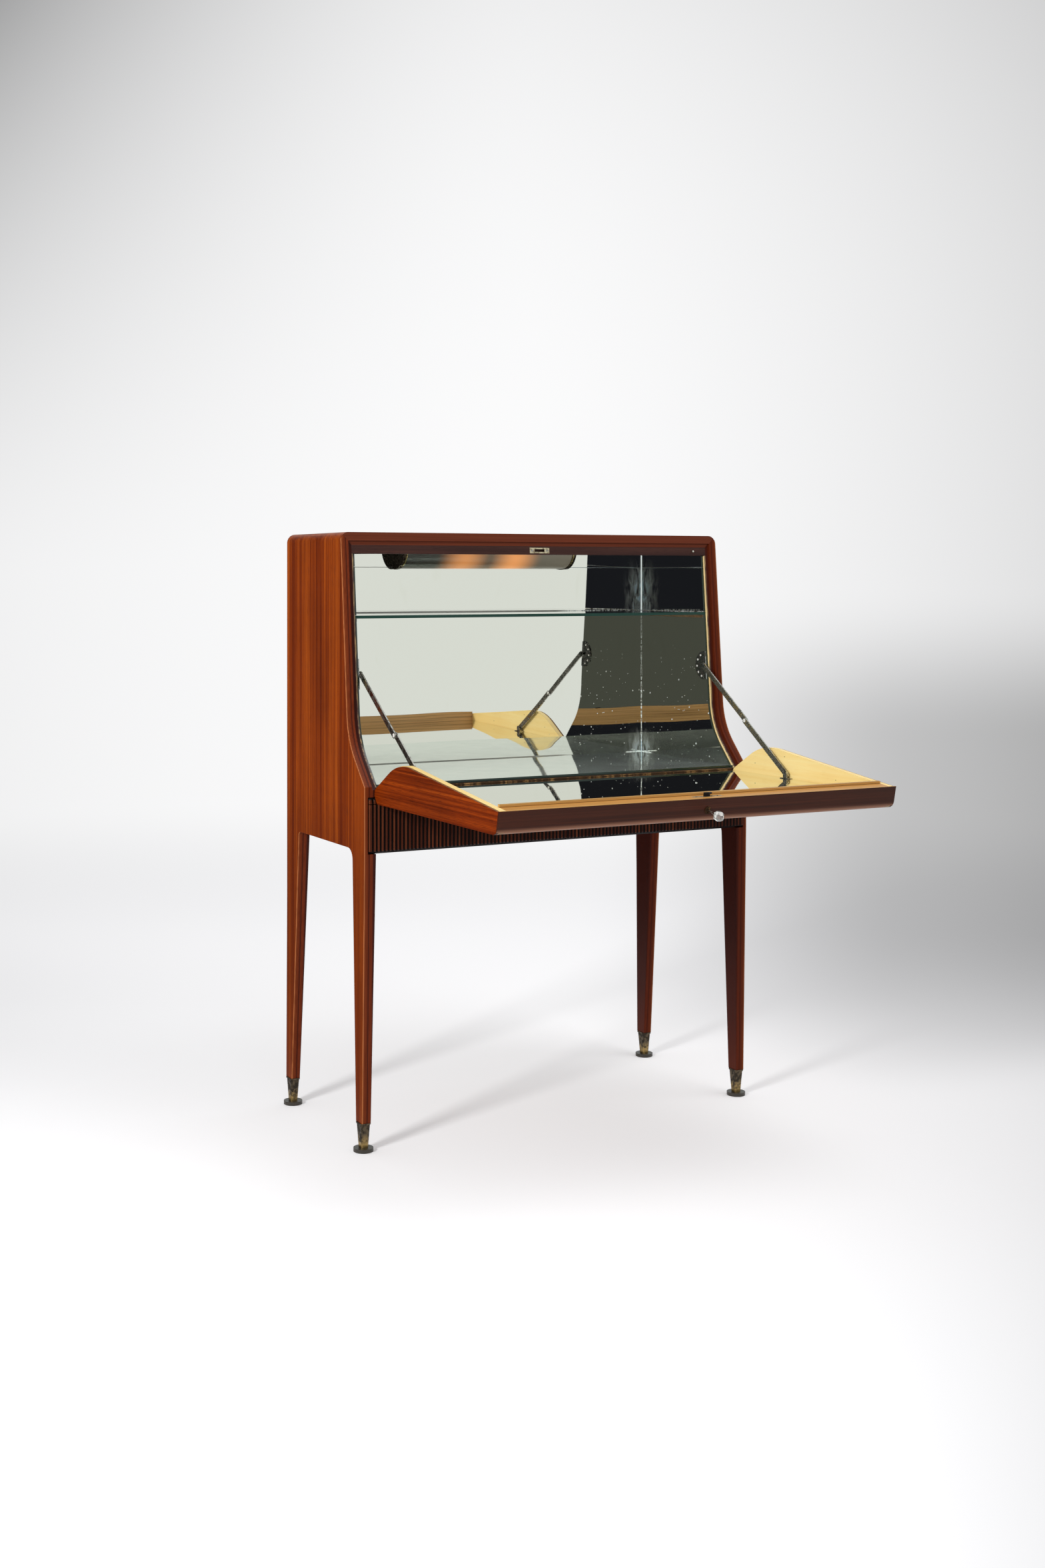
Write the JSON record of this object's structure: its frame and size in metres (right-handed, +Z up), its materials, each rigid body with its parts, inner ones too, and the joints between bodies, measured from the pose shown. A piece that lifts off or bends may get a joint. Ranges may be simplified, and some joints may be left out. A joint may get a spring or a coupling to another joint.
{
  "type": "bar cabinet",
  "caption": "Drop-front bar cabinet on tapered legs, mirrored inside, with a let-down tray flap on folding stays, a glass shelf, a corner lamp and reeded drawers.",
  "frame": {"origin": "on the floor, at the bottom centre of the whole with its flap let down", "axes": "+X to the right seen from the front, -Y out of the front, +Z up"},
  "size_m": [0.92, 0.9296, 1.2],
  "materials": {
    "walnut_veneer": "satin veneer, straight grain",
    "walnut_dark": "satin, reddish dark",
    "reeded_walnut": "satin, upright reeds",
    "carcass_wood": "plain, unpolished",
    "blonde_wood": "satin blonde veneer",
    "mirror_glass": "aged mirror",
    "shelf_glass": "polished edges",
    "frosted_shade": "frosted",
    "bulb_glass": "frosted, lit",
    "bronze": "dark bronze",
    "lamp_fitting": "matte",
    "hinge_brass": "worn",
    "nickel": "worn nickel",
    "lock_brass": "pale brass",
    "blackened_steel": "black",
    "clear_knob": "faceted, clear",
    "aged_brass": "patinated, golden below",
    "dark_disc": "near black",
    "screw_steel": "round headed"
  },
  "bodies": {
    "cabinet": {"side_panel_right": "walnut_veneer", "side_panel_left": "walnut_veneer", "top_panel": "walnut_veneer", "head_rail": "walnut_dark", "back_panel": "carcass_wood", "floor_board": "carcass_wood", "bottom_panel": "carcass_wood", "drawer_divider": "carcass_wood", "fascia_rail": "reeded_walnut", "sabots": "aged_brass", "foot_discs": "dark_disc", "side_lining_right": "blonde_wood", "side_lining_left": "blonde_wood", "back_lining": "blonde_wood", "ceiling_lining": "blonde_wood", "mirror_right": "mirror_glass", "mirror_left": "mirror_glass", "mirror_back": "mirror_glass", "mirror_floor": "mirror_glass", "mirror_ceiling": "mirror_glass", "glass_shelf": "shelf_glass", "shelf_rests": "carcass_wood", "lamp_housing": "bronze", "lamp_shade": "frosted_shade", "lamp_end_caps": "bronze", "lamp_holders": "lamp_fitting", "lamp_bulbs": "bulb_glass", "drawer_runners": "carcass_wood", "hinge_leaf_body": "hinge_brass", "hinge_pin": "hinge_brass", "stay_plates": "nickel", "strike_plate": "lock_brass"},
    "flap": {"flap_board": "walnut_dark", "mirror_flap": "mirror_glass", "flap_front_rail": "walnut_dark", "flap_rebate_moulding": "blonde_wood", "flap_cheek_right": "walnut_veneer", "flap_cheek_left": "walnut_veneer", "flap_cheek_lining_right": "blonde_wood", "flap_cheek_lining_left": "blonde_wood", "hinge_leaf_flap": "hinge_brass", "stay_brackets": "nickel", "lock_case": "lock_brass", "escutcheon": "lock_brass"},
    "stay_left_upper": {"stay_upper_link_left": "nickel"},
    "stay_left_lower": {"stay_lower_link_left": "nickel"},
    "stay_right_upper": {"stay_upper_link_right": "nickel"},
    "stay_right_lower": {"stay_lower_link_right": "nickel"},
    "drawer_left": {"drawer_left_front": "reeded_walnut", "drawer_left_box": "carcass_wood", "drawer_left_bottom": "carcass_wood"},
    "drawer_right": {"drawer_right_front": "reeded_walnut", "drawer_right_box": "carcass_wood", "drawer_right_bottom": "carcass_wood"},
    "key": {"key": "nickel", "key_knob": "clear_knob"},
    "bolt": {"lock_bolt": "blackened_steel"},
    "switch": {"switch_plunger": "nickel"}
  },
  "joints": [
    {"name": "flap_hinge", "type": "hinge", "parent": "cabinet", "child": "flap", "pos_m": [0, 0.06731, 0.701], "axis": [-1, 0, 0], "range_deg": [0, 101.8]},
    {"name": "stay_left_upper_pivot", "type": "hinge", "parent": "cabinet", "child": "stay_left_upper", "pos_m": [-0.41065, 0.16947, 0.918], "axis": [1, 0, 0], "range_deg": [0, 60.16]},
    {"name": "stay_left_lower_pivot", "type": "hinge", "parent": "flap", "child": "stay_left_lower", "pos_m": [-0.40735, -0.12369, 0.709], "axis": [1, 0, 0], "range_deg": [0, 1.7]},
    {"name": "stay_right_upper_pivot", "type": "hinge", "parent": "cabinet", "child": "stay_right_upper", "pos_m": [0.41065, 0.16947, 0.918], "axis": [1, 0, 0], "range_deg": [0, 60.16]},
    {"name": "stay_right_lower_pivot", "type": "hinge", "parent": "flap", "child": "stay_right_lower", "pos_m": [0.40735, -0.12369, 0.709], "axis": [1, 0, 0], "range_deg": [0, 1.7]},
    {"name": "drawer_left_slide", "type": "slide", "parent": "cabinet", "child": "drawer_left", "axis": [0, -1, 0], "range_m": [0, 0.25]},
    {"name": "drawer_right_slide", "type": "slide", "parent": "cabinet", "child": "drawer_right", "axis": [0, -1, 0], "range_m": [0, 0.25]},
    {"name": "key_turn", "type": "hinge", "parent": "flap", "child": "key", "pos_m": [0, -0.422, 0.69407], "axis": [0, -0.9789, -0.2044], "range_deg": [0, 90]},
    {"name": "bolt_slide", "type": "slide", "parent": "flap", "child": "bolt", "axis": [1, 0, 0], "range_m": [0, 0.00601]},
    {"name": "switch_slide", "type": "slide", "parent": "cabinet", "child": "switch", "axis": [0, 0.9965, -0.0837], "range_m": [0, 0.00431]}
  ],
  "couplings": [
    {"joint": "stay_left_upper_pivot", "follows": "flap_hinge", "ratio": 0.5909},
    {"joint": "stay_left_lower_pivot", "follows": "flap_hinge", "ratio": 0.016632},
    {"joint": "stay_right_upper_pivot", "follows": "flap_hinge", "ratio": 0.5909},
    {"joint": "stay_right_lower_pivot", "follows": "flap_hinge", "ratio": 0.016632},
    {"joint": "bolt_slide", "follows": "key_turn", "m_per_rad": 0.0038197},
    {"joint": "switch_slide", "follows": "flap_hinge", "m_per_rad": 0.0024202}
  ]
}
